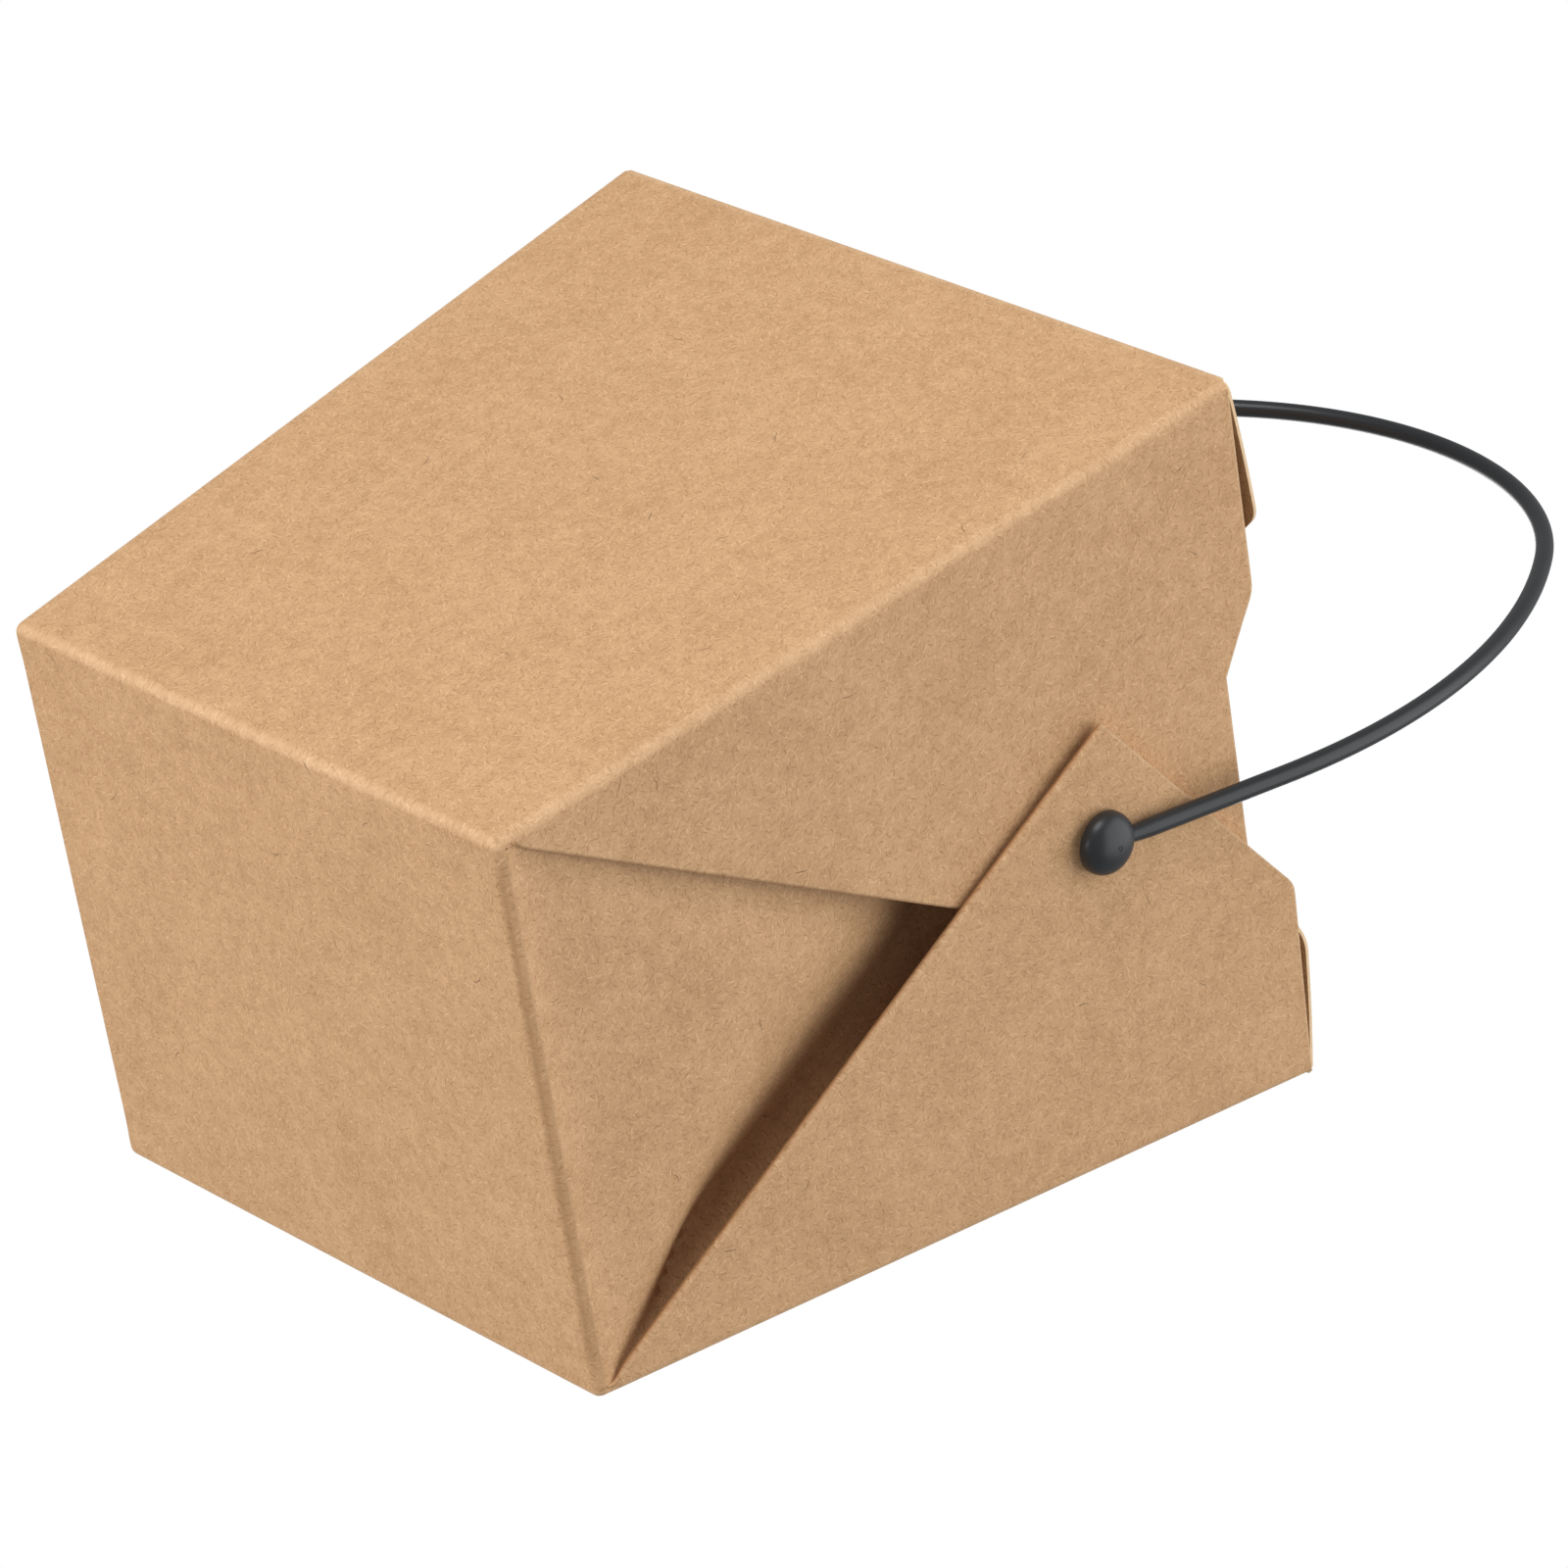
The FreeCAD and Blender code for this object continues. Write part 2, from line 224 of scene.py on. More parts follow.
def free_edge(side, y, z):
    """How far a point of a gusset is inside its free edge, in mm, on the +Y side."""
    if side == "over":
        tip_z = crease_z(-OVER_TIP_Y)
        slope = (HEIGHT - tip_z) / (RIM_STOP + OVER_TIP_Y)
        return lower_of(HEIGHT + 0 * y, tip_z + (y + OVER_TIP_Y) * slope, 0.9) - z
    slope = SHELF_DROP / (RIM_STOP - SHELF_Y)
    ledge = np.maximum(PANEL_TOP + (y - SHELF_Y) * slope, PANEL_TOP)
    tip_z = crease_z(-UNDER_TIP_Y)
    tip_line = -UNDER_TIP_Y - (z - tip_z) * (UNDER_REACH - UNDER_TIP_Y) / (PANEL_TOP - tip_z)
    return np.minimum(lower_of(HEIGHT + 0 * y, ledge, 0.8) - z, y - tip_line)


def gusset_fractions(side):
    """Shares of the way from the corner to the crease at which a gusset has columns."""
    shares = list(np.linspace(0.08, 0.92, 9)) + [0.01, 0.03, 0.97, 0.99]
    corner = wall_y(HEIGHT) - 0.225
    kinks = [RIM_STOP + step for step in (-3.2, -2.2, -1.2, -0.5, 0.0, 0.5, 1.2, 2.2, 3.2)]
    shares += [(corner - y) / (corner - crease_y(HEIGHT)) for y in kinks]
    if side == "under":
        corner = wall_y(PANEL_TOP) - 0.225
        for y in (SHELF_Y, -UNDER_REACH):
            shares.append((corner - y) / (corner - crease_y(PANEL_TOP)))
    return sorted(shares)


def panel_bow(y, z, settings):
    """How far the end panel bows in at (y, z): it curls away under the slanted fold of the +Y gusset."""
    past_fold = y - crease_y(z)
    room = np.maximum(wall_y(z) - 1.6 - crease_y(z), 1.0)
    width = 8.0 + 20.0 * ease(z / 50)
    reach = 0.12 * width + 1.5
    curl = np.clip((past_fold + width) / (width + reach), 0.0, 1.0) ** 2
    behind = 1 - ease((past_fold / room - 0.25) / 0.72)
    tall = ease((z - 0.6) / 24) * ease((PIVOT_HEIGHT + 6 - z) / 28)
    past_under = -y - crease_y(z)
    dip = 1.5 * np.exp(-((past_under - 1.5) / 6.5) ** 2) * ease((z - 2) / 26) * ease((74 - z) / 24)
    return settings.bow_depth * 1000 * tall * curl * behind + dip


def quarter(side, settings):
    """Columns of a quarter of the walls: from the middle of a wide wall to the middle of an end."""
    board = settings.thickness * 1000
    fold_z = board / 2 + BOTTOM_FOLD_RADIUS * (1 - math.sin(END_LEAN))
    levels = np.concatenate([fold_z + np.linspace(0, 6, 61), np.linspace(fold_z + 6.2, HEIGHT, 500)])
    rise = math.tan(OVER_TILT) if side == "over" else 0.0
    x = end_x(levels) - board / 2
    y = wall_y(levels) - board / 2
    grow = np.clip((levels - fold_z) / 6.0, 0.0, 1.0)
    pitch = PITCH * (grow * (2 - grow)) + 1e-4
    turn_y = y - CORNER_RADIUS
    start = ease((levels - fold_z) / 3.2)
    fold_y = turn_y - 2e-4 + (crease_y(levels) + board / 2 - turn_y) * start
    lift = rise * start
    corners = [
        np.stack([0 * x, y], 1),
        np.stack([x, y], 1),
        np.stack([x + (y - fold_y) * lift, fold_y], 1),
        np.stack([x - pitch + (turn_y - fold_y) * lift, fold_y], 1),
        np.stack([x - pitch, turn_y], 1),
        np.stack([x - 2 * pitch, turn_y], 1),
        np.stack([x - 2 * pitch, 0 * y], 1),
    ]
    return levels, corners, pitch


def folded_walls(settings):
    """Every wall, gusset and end panel of the pail, with the bottom, as one sheet."""
    board = settings.thickness * 1000
    points, faces, flat, wear_and_edge_highlight, painted_shade = [], [], [], [], []
    rows = np.concatenate([[0, .004, .009, .016, .025, .036, .05, .07], np.linspace(.088, .985, 44), [.9968, 1]])
    chords = 5
    near = [0.02, 0.06, 0.12, 0.2, 0.32, 0.45, 0.6, 0.72, 0.82, 0.89, 0.94, 0.97, 0.985, 0.995]
    for side, sy in (("over", 1), ("under", -1)):
        levels, corners, pitch = quarter(side, settings)
        shares = gusset_fractions(side)
        radii = [CORNER_RADIUS] + [pitch / 2 * 0.999] * 4
        path = rounded(corners, radii, chords)
        corner_run = path[1:chords + 2]
        crease_run = path[chords + 2:3 * chords + 4]
        turn_run = path[3 * chords + 4:5 * chords + 6]
        columns, kinds = [path[0]], ["wall"]
        columns += between(path[0], corner_run[0], near)
        kinds += ["wall"] * len(near)
        columns += corner_run
        kinds += ["corner"] * len(corner_run)
        columns += between(corner_run[-1], crease_run[0], shares)
        kinds += ["outer"] * len(shares)
        columns += crease_run
        kinds += ["crease"] * len(crease_run)
        columns += between(crease_run[-1], turn_run[0], [1 - s for s in reversed(shares)])
        kinds += ["inner"] * len(shares)
        columns += turn_run
        kinds += ["turn"] * len(turn_run)
        panel = [0.01, 0.03] + list(np.linspace(0.06, 0.97, 26))
        columns += between(turn_run[-1], path[-1], panel) + [path[-1]]
        kinds += ["panel"] * (len(panel) + 1)
        grid = np.stack(columns)
        length = np.zeros(grid.shape[:2])
        length[1:] = np.cumsum(np.linalg.norm(np.diff(grid, axis=0), axis=2), axis=0)
        tops = []
        for column, kind in zip(grid, kinds):
            if kind == "wall":
                tops.append(HEIGHT - RIM_FOLD)
            elif kind == "corner":
                tops.append(HEIGHT)
            elif kind == "panel" or kind == "turn":
                tops.append(PANEL_TOP)
            else:
                inside = free_edge(side, column[:, 1], levels)
                outside = np.nonzero(inside < 0)[0]
                if len(outside) == 0:
                    tops.append(HEIGHT)
                    continue
                k = outside[0]
                share = inside[k - 1] / (inside[k - 1] - inside[k])
                tops.append(levels[k - 1] + (levels[k] - levels[k - 1]) * share)
        for sx in (1, -1):
            base = len(points)
            count = len(columns)
            foot = max(i for i, kind in enumerate(kinds) if kind == "corner")
            path_start = kinds.index("corner")
            crease_start = kinds.index("crease")
            for j, t in enumerate(rows):
                for i in range(count):
                    z = levels[0] + (tops[i] - levels[0]) * t
                    px = np.interp(z, levels, grid[i, :, 0])
                    py = np.interp(z, levels, grid[i, :, 1])
                    run = np.interp(z, levels, length[i])
                    if j == 0 and kinds[i] in ("outer", "crease", "inner", "turn"):
                        px, py = grid[foot, 0]
                    if kinds[i] == "panel":
                        px -= panel_bow(sy * py, z, settings)
                    points.append((sx * px, sy * py, z))
                    slant = z / math.cos(WALL_LEAN)
                    if kinds[i] in ("panel", "turn"):
                        flat.append((sx * (BOTTOM[0] / 2 + slant), sy * py))
                    else:
                        flat.append((sx * run, sy * (BOTTOM[1] / 2 + slant)))
                    # edge holds the rubbed wear on the folds and the painted highlight on the free edges; line holds
                    # the painted shade along the crease.
                    edge, line = 0.0, 0.0
                    if kinds[i] == "corner":
                        edge = 0.36 * math.sin(math.pi * (i - path_start) / chords)
                    elif kinds[i] == "crease":
                        turned = (i - crease_start) / (2 * chords + 1)
                        edge = 0.22 * max(0.0, 1 - 3 * turned)
                        # Painted shadow: the inner half of a gusset crease is darkened where the gap under the fold
                        # lies in shade.
                        line = ease((turned - 0.3) / 0.25)
                    # Painted highlight: the last row along a gusset's free edge is paler, for the pale cut edge where
                    # light catches it.
                    if j == len(rows) - 1 and kinds[i] in ("outer", "crease"):
                        edge = 0.9
                    wear_and_edge_highlight.append(edge)
                    painted_shade.append(line)
            for j in range(len(rows) - 1):
                for i in range(count - 1):
                    a = base + j * count + i
                    quad = [a, a + 1, a + count + 1, a + count]
                    faces.append(quad if sx * sy > 0 else quad[::-1])
            tray_quarter(points, faces, flat, wear_and_edge_highlight, painted_shade, base, kinds, grid[:, 0], sx, sy, levels[0], board)
    return points, faces, flat, wear_and_edge_highlight, painted_shade


def tray_quarter(points, faces, flat, wear_and_edge_highlight, painted_shade, base, kinds, plan, sx, sy, fold_z, board):
    """The bottom fold and the bottom itself, for one quarter, joined to the walls' lowest row."""
    used = [i for i, kind in enumerate(kinds) if kind in ("wall", "corner", "panel")]
    centre = np.array([plan[used[-1]][0], plan[0][1]]) - CORNER_RADIUS
    normals = []
    for i in used:
        if kinds[i] == "wall":
            normals.append((0.0, 1.0))
        elif kinds[i] == "panel":
            normals.append((1.0, 0.0))
        else:
            out = plan[i] - centre
            normals.append(tuple(out / np.linalg.norm(out)))
    previous = [base + i for i in used]
    steps = 12
    rings = [("fold", s / steps) for s in range(1, steps + 1)] + [("flat", f) for f in (0.94, 0.75, 0.4, 0.0)]
    lean = END_LEAN
    for what, share in rings:
        current = []
        for i, normal in zip(used, normals):
            start = np.array(plan[i])
            out = np.array(normal)
            angle = lean + (math.pi / 2 - lean) * (share if what == "fold" else 1.0)
            inset = BOTTOM_FOLD_RADIUS * (math.cos(lean) - math.cos(angle))
            z = board / 2 + BOTTOM_FOLD_RADIUS * (1 - math.sin(angle))
            place = start - out * min(inset, CORNER_RADIUS - 1e-4)
            if what == "flat":
                place = place * share
            groove = 0.0
            if kinds[i] == "panel":
                fade = 1 - ease((abs(start[1]) - (BOTTOM[1] / 2 - 6)) / 4)
                groove = 0.2 * math.exp(-((math.degrees(angle) - 48) / 24) ** 2) * fade if what == "fold" else 0.0
                place = place - np.array([groove, 0.0]) * 0.7
                z += groove * 0.7
            current.append(len(points))
            points.append((sx * place[0], sy * place[1], z))
            flat.append((sx * place[0], sy * place[1]))
            wall_like = abs(normal[1]) > 0.3 and what == "fold"
            wear_and_edge_highlight.append(0.4 * math.sin(math.pi * share) if wall_like else 0.0)
            # Painted shade: the groove along the bottom of an end panel is darkened in colour as well as dented in.
            painted_shade.append(0.55 * groove / 0.2)
        for k in range(len(used) - 1):
            quad = [current[k], current[k + 1], previous[k + 1], previous[k]]
            faces.append(quad if sx * sy > 0 else quad[::-1])
        previous = current


def filled(outlines, step, extra_rows):
    """Triangles that fill an outline with round holes cut out, with inner points step apart."""
    points, edges = [], []
    for outline in outlines:
        base = len(points)
        dense = []
        for a, b in zip(outline, outline[1:] + outline[:1]):
            a, b = np.array(a), np.array(b)
            cuts = {0.0}
            parts = max(1, int(np.linalg.norm(b - a) / step))
            cuts |= {k / parts for k in range(parts)}
            for row in extra_rows:
                if (a[1] - row) * (b[1] - row) < 0:
                    cuts.add((row - a[1]) / (b[1] - a[1]))
            dense += [a + (b - a) * c for c in sorted(cuts)]
        points += dense
        count = len(dense)
        edges += [(base + k, base + (k + 1) % count) for k in range(count)]
    outer = np.array(outlines[0])
    low, high = outer.min(0), outer.max(0)
    grid_x = np.arange(low[0] + step / 2, high[0], step)
    grid_y = sorted(set(np.arange(low[1] + step / 2, high[1], step)) | set(extra_rows))
    rim = np.array(points)
    for y in grid_y:
        for x in grid_x:
            if inside(outlines, x, y) and np.min(np.hypot(rim[:, 0] - x, rim[:, 1] - y)) > step * 0.12:
                points.append(np.array([x, y]))
    made = delaunay_2d_cdt([Vector(p) for p in points], edges, [], 0, 1e-5)
    verts, tris = made[0], made[2]
    kept = []
    for tri in tris:
        middle = sum((verts[i] for i in tri), Vector((0, 0))) / 3
        if inside(outlines, middle.x, middle.y):
            kept.append(tri)
    return [tuple(v) for v in verts], kept


def inside(outlines, x, y):
    """Whether a point is inside the first outline and outside the others."""
    hits = 0
    for outline in outlines:
        for (ax, ay), (bx, by) in zip(outline, outline[1:] + outline[:1]):
            if (ay > y) != (by > y) and x < ax + (y - ay) * (bx - ax) / (by - ay):
                hits += 1
    return hits % 2 == 1


def along(path, distances):
    """Points at the given distances along a path of (a, b) points."""
    path = np.array(path)
    runs = np.concatenate([[0], np.cumsum(np.linalg.norm(np.diff(path, axis=0), axis=1))])
    return np.stack([np.interp(distances, runs, path[:, k]) for k in (0, 1)], 1), runs[-1]


def fold_path(corners, radii, chords=8):
    """A path in a plane with round corners, as a list of (a, b) points."""
    made = rounded([np.array([c], float) for c in corners], radii, chords)
    return [tuple(p[0]) for p in made]


def round_corner(points, radius, chords=4):
    """A closed outline with its corners rounded."""
    made = []
    count = len(points)
    for k, corner in enumerate(points):
        corner = np.array(corner, float)
        before = np.array(points[k - 1], float) - corner
        after = np.array(points[(k + 1) % count], float) - corner
        lengths = np.linalg.norm(before), np.linalg.norm(after)
        cut = min(radius, lengths[0] * 0.4, lengths[1] * 0.4)
        start = corner + before / lengths[0] * cut
        end = corner + after / lengths[1] * cut
        for step in range(chords + 1):
            t = step / chords
            made.append(tuple(start * (1 - t) ** 2 + 2 * corner * t * (1 - t) + end * t * t))
    return made


def flap_outline(length, half_width, half_tab, tab):
    """Flat outline of a lid flap from its fold: x, and distance from the fold."""
    shoulder = FLAP_SIDE + FLAP_HALF - TONGUE_HALF
    half = [
        (half_width, 0.0),
        (half_width, FLAP_SIDE),
        (TONGUE_HALF, shoulder),
        (TONGUE_HALF, length - TONGUE_CORNER),
        (TONGUE_HALF - TONGUE_CORNER, length),
    ]
    if half_tab:
        half += [(half_tab, length), (half_tab, length + tab - 3.0), (half_tab - 3.0, length + tab)]
    return half + [(-x, y) for x, y in reversed(half)]


def lid_sheet(name, outlines, path, rows, settings, materials, sy, seam):
    """A lid flap: its flat outline laid along a path of (y, z) points."""
    verts, tris = filled(outlines, 3.0, rows)
    flat = np.array(verts)
    place, _ = along(path, flat[:, 1])
    points = [(x, sy * y, z) for x, (y, z) in zip(flat[:, 0], place)]
    faces = [tuple(t) if sy > 0 else tuple(reversed(t)) for t in tris]
    flat_uv = [(x, sy * (seam + s)) for x, s in flat]
    wear_and_edge_highlight = np.zeros(len(points))
    painted_shade = np.zeros(len(points))
    return board_object(name, points, faces, flat_uv, wear_and_edge_highlight, painted_shade, settings, materials)


def add_node(tree, kind, settings=None, links=None, place=(0, 0)):
    """Adds a node, sets its fields and inputs, and links its inputs to other nodes' outputs."""
    node = tree.nodes.new(kind)
    node.location = place
    for key, value in (settings or {}).items():
        if isinstance(key, str) and hasattr(node, key):
            setattr(node, key, value)
        else:
            node.inputs[key].default_value = value
    for key, source in (links or {}).items():
        tree.links.new(source, node.inputs[key])
    return node


def new_material(name):
    """An empty node material with its shader."""
    material = bpy.data.materials.new(name)
    material.use_nodes = True
    tree = material.node_tree
    tree.nodes.clear()
    shader = add_node(tree, "ShaderNodeBsdfPrincipled", place=(900, 0))
    add_node(tree, "ShaderNodeOutputMaterial", links={"Surface": shader.outputs[0]}, place=(1200, 0))
    return material, tree, shader


def fleck(tree, flat, cell, half_length, half_width, share, curl):
    """Mask of one lying fibre in each cell, in millimetres: a share of the cells has one."""
    cells = add_node(tree, "ShaderNodeTexVoronoi", {"voronoi_dimensions": "2D", "Scale": 1 / cell}, {"Vector": flat})
    offset = add_node(tree, "ShaderNodeVectorMath", {"operation": "SUBTRACT"},
                      {0: flat, 1: cells.outputs["Position"]})
    chance = add_node(tree, "ShaderNodeSeparateColor", None, {"Color": cells.outputs["Color"]})
    angle = add_node(tree, "ShaderNodeMath", {"operation": "MULTIPLY", 1: math.pi}, {0: chance.outputs[0]})
    turned = add_node(tree, "ShaderNodeVectorRotate", {"rotation_type": "Z_AXIS"},
                      {"Vector": offset.outputs[0], "Angle": angle.outputs[0]})
    lying = add_node(tree, "ShaderNodeSeparateXYZ", None, {0: turned.outputs[0]})
    square = add_node(tree, "ShaderNodeMath", {"operation": "MULTIPLY"}, {0: lying.outputs[0], 1: lying.outputs[0]})
    bend = add_node(tree, "ShaderNodeMath", {"operation": "SUBTRACT", 1: 0.5}, {0: chance.outputs[1]})
    bend = add_node(tree, "ShaderNodeMath", {"operation": "MULTIPLY", 1: curl}, {0: bend.outputs[0]})
    curved = add_node(tree, "ShaderNodeMath", {"operation": "MULTIPLY_ADD"},
                      {0: square.outputs[0], 1: bend.outputs[0], 2: lying.outputs[1]})
    masks = []
    for source, half in ((lying.outputs[0], half_length), (curved.outputs[0], half_width)):
        size = add_node(tree, "ShaderNodeMath", {"operation": "ABSOLUTE"}, {0: source})
        edge = add_node(tree, "ShaderNodeMapRange", {1: half, 2: half * 0.45, 3: 0.0, 4: 1.0}, {0: size.outputs[0]})
        masks.append(edge.outputs[0])
    picked = add_node(tree, "ShaderNodeMath", {"operation": "LESS_THAN", 1: share}, {0: chance.outputs[2]})
    shape = add_node(tree, "ShaderNodeMath", {"operation": "MULTIPLY"}, {0: masks[0], 1: masks[1]})
    return add_node(tree, "ShaderNodeMath", {"operation": "MULTIPLY"},
                    {0: shape.outputs[0], 1: picked.outputs[0]}).outputs[0]


def summed(tree, start, parts):
    """A value that starts at start and adds each (source, weight)."""
    total = None
    for source, weight in parts:
        links = {0: source}
        settings = {"operation": "MULTIPLY_ADD", 1: weight}
        if total is None:
            settings[2] = start
        else:
            links[2] = total
        total = add_node(tree, "ShaderNodeMath", settings, links).outputs[0]
    return total


def mixed(tree, factor, first, second, blend="MIX"):
    """One colour laid over another by a factor; each is a colour or another node's output."""
    node = add_node(tree, "ShaderNodeMix", {"data_type": "RGBA", "blend_type": blend})
    for socket, value in ((0, factor), (6, first), (7, second)):
        if isinstance(value, bpy.types.NodeSocket):
            tree.links.new(value, node.inputs[socket])
        else:
            node.inputs[socket].default_value = value
    return node.outputs[2]


def kraft_board(settings):
    """Uncoated unbleached kraft board, calendered smooth: short fibres in two tones lie at random in
    its face, so that it looks flecked and slightly cloudy, and quite matt. Folds are rubbed paler, and
    the free top edges are paler with a painted highlight. A painted shade darkens the inner half of
    each gusset crease and the groove along the bottom."""
    material, tree, shader = new_material("kraft_board_calendered")
    sheet = add_node(tree, "ShaderNodeUVMap", {"uv_map": "flat"}).outputs[0]
    ripple = add_node(tree, "ShaderNodeTexNoise", {"noise_dimensions": "2D", "Scale": 1 / 1.6, "Detail": 1.0},
                      {"Vector": sheet})
    flat = add_node(tree, "ShaderNodeVectorMath", {"operation": "MULTIPLY_ADD", 1: (0.5, 0.5, 0.0)},
                    {0: ripple.outputs["Color"], 2: sheet}).outputs[0]
    clouds = []
    for cell, detail in ((14.0, 2.0), (2.4, 2.0), (0.32, 2.0)):
        noise = add_node(tree, "ShaderNodeTexNoise",
                         {"noise_dimensions": "2D", "Scale": 1 / cell, "Detail": detail}, {"Vector": sheet})
        clouds.append(noise.outputs["Fac"])
    dark_fibres = fleck(tree, flat, 1.15, 0.55, 0.085, 0.9, 1.6)
    fine_fibres = fleck(tree, flat, 0.62, 0.3, 0.06, 0.8, 2.0)
    pale_fibres = fleck(tree, flat, 1.35, 0.6, 0.085, 0.85, 1.4)
    tone = summed(tree, -0.22, [
        (clouds[0], 0.28), (clouds[1], 0.46), (clouds[2], 0.74),
        (dark_fibres, -0.46), (fine_fibres, -0.26), (pale_fibres, 0.48),
    ])
    colour = mixed(tree, tone, linear(settings.dark_colour), linear(settings.light_colour))
    specks = fleck(tree, flat, 5.5, 0.16, 0.11, 0.55, 0.0)
    hairs = fleck(tree, flat, 17.0, 1.1, 0.07, 0.45, 0.5)
    for mark, strength, tint in ((specks, 0.5, "#8A6440"), (hairs, 0.8, "#4A2F1C")):
        shade = add_node(tree, "ShaderNodeMath", {"operation": "MULTIPLY", 1: strength}, {0: mark}).outputs[0]
        colour = mixed(tree, shade, colour, linear(tint))
    # The first mark pales the rubbed folds and paints a highlight on the free edges; the second paints shade in the
    # gusset creases and in the bottom groove.
    for label, tint, reach in (("wear_and_edge_highlight", settings.wear_and_edge_highlight_colour, 0.62), ("painted_shade", settings.painted_shade_colour, 0.75)):
        line = add_node(tree, "ShaderNodeAttribute", {"attribute_name": label}).outputs["Fac"]
        broken = summed(tree, 0.25, [(clouds[1], 1.1), (clouds[2], 0.5)])
        amount = add_node(tree, "ShaderNodeMath", {"operation": "MULTIPLY"}, {0: line, 1: broken}).outputs[0]
        amount = add_node(tree, "ShaderNodeMath", {"operation": "MULTIPLY", 1: reach, "use_clamp": True},
                          {0: amount}).outputs[0]
        colour = mixed(tree, amount, colour, linear(tint))
    tree.links.new(colour, shader.inputs["Base Color"])
    tooth = summed(tree, 0.0, [(clouds[2], 0.5), (clouds[1], 0.5), (dark_fibres, -0.25), (pale_fibres, 0.25)])
    wave = add_node(tree, "ShaderNodeTexNoise", {"noise_dimensions": "2D", "Scale": 1 / 26.0, "Detail": 1.0},
                    {"Vector": sheet})
    waved = add_node(tree, "ShaderNodeBump", {"Strength": 1.0, "Distance": 0.0006}, {"Height": wave.outputs["Fac"]})
    bump = add_node(tree, "ShaderNodeBump", {"Strength": 0.22, "Distance": 0.00008},
                    {"Height": tooth, "Normal": waved.outputs[0]})
    tree.links.new(bump.outputs[0], shader.inputs["Normal"])
    shader.inputs["Roughness"].default_value = 0.72
    shader.inputs["IOR"].default_value = 1.4
    return material


def cut_edge(settings):
    """The cut edge of the board, where the knife shows the paler core of the sheet."""
    material, tree, shader = new_material("kraft_board_cut_edge")
    place = add_node(tree, "ShaderNodeTexCoord")
    grain = add_node(tree, "ShaderNodeTexNoise", {"Scale": 1 / 0.0006, "Detail": 2.0},
                     {"Vector": place.outputs["Object"]})
    tone = add_node(tree, "ShaderNodeMix", {"data_type": "RGBA"})
    tree.links.new(grain.outputs["Fac"], tone.inputs["Factor"])
    tone.inputs[6].default_value = linear("#DDB98D")
    tone.inputs[7].default_value = linear("#F2D8B4")
    tree.links.new(tone.outputs[2], shader.inputs["Base Color"])
    shader.inputs["Roughness"].default_value = 0.9
    return material


def moulded_plastic(settings):
    """Injection-moulded polypropylene, black, with the soft gloss of a polished mould."""
    material, tree, shader = new_material("polypropylene_moulded_black")
    place = add_node(tree, "ShaderNodeTexCoord")
    flow = add_node(tree, "ShaderNodeTexNoise", {"Scale": 1 / 0.006, "Detail": 2.0},
                    {"Vector": place.outputs["Object"]})
    tone = add_node(tree, "ShaderNodeMix", {"data_type": "RGBA"})
    tree.links.new(flow.outputs["Fac"], tone.inputs["Factor"])
    tone.inputs[6].default_value = linear("#1E2125")
    tone.inputs[7].default_value = linear("#25282C")
    tree.links.new(tone.outputs[2], shader.inputs["Base Color"])
    shader.inputs["Roughness"].default_value = 0.37
    shader.inputs["IOR"].default_value = 1.49
    return material


def named_material(name, maker, settings):
    """The material of that name, made once."""
    return bpy.data.materials.get(name) or maker(settings)


def board_materials(settings):
    """The board's face and its cut edge."""
    return [
        named_material("kraft_board_calendered", kraft_board, settings),
        named_material("kraft_board_cut_edge", cut_edge, settings),
    ]


class PailBoardSettings(PropertyGroup):
    """Sizes and colours of the folded board."""

    thickness: FloatProperty(
        name="Thickness", description="Thickness of the board",
        default=0.00045, min=0.0002, max=0.001, unit="LENGTH", precision=5)
    bow_depth: FloatProperty(
        name="End panel bow", description="How far an end panel bows in behind its gussets",
        default=0.0078, min=0.0, max=0.012, unit="LENGTH", precision=4)
    light_colour: StringProperty(
        name="Light fibre colour", description="sRGB hex colour of the board's palest fibres", default="#E2B88C")
    dark_colour: StringProperty(
        name="Dark fibre colour", description="sRGB hex colour of the board's darkest fibres", default="#B0855A")
    # Colour of the rubbed folds, also used for the painted highlight along the free top edges.
    wear_and_edge_highlight_colour: StringProperty(
        name="Fold wear and edge highlight colour", description="sRGB hex colour of the rubbed folds and of the painted highlight on the free edges",
        default="#E6C49C")
    # Colour of the painted shade in the gusset creases and in the groove along the bottom.
    painted_shade_colour: StringProperty(
        name="Painted crease shade colour", description="sRGB hex colour of the painted shade along the creases and in the bottom groove",
        default="#9C7048")


class PailHandleSettings(PropertyGroup):
    """Sizes of the moulded handle."""

    rod_radius: FloatProperty(
        name="Rod radius", description="Radius of the round rod",
        default=0.0012, min=0.0005, max=0.003, unit="LENGTH", precision=4)
    rest_lean: FloatProperty(
        name="Rest lean", description="Lean of the handle from upright, to the +Y side",
        default=math.radians(7.3), subtype="ANGLE")
    rings: IntProperty(name="Rod sides", description="Sides of the rod's round section", default=32, min=8, max=64)


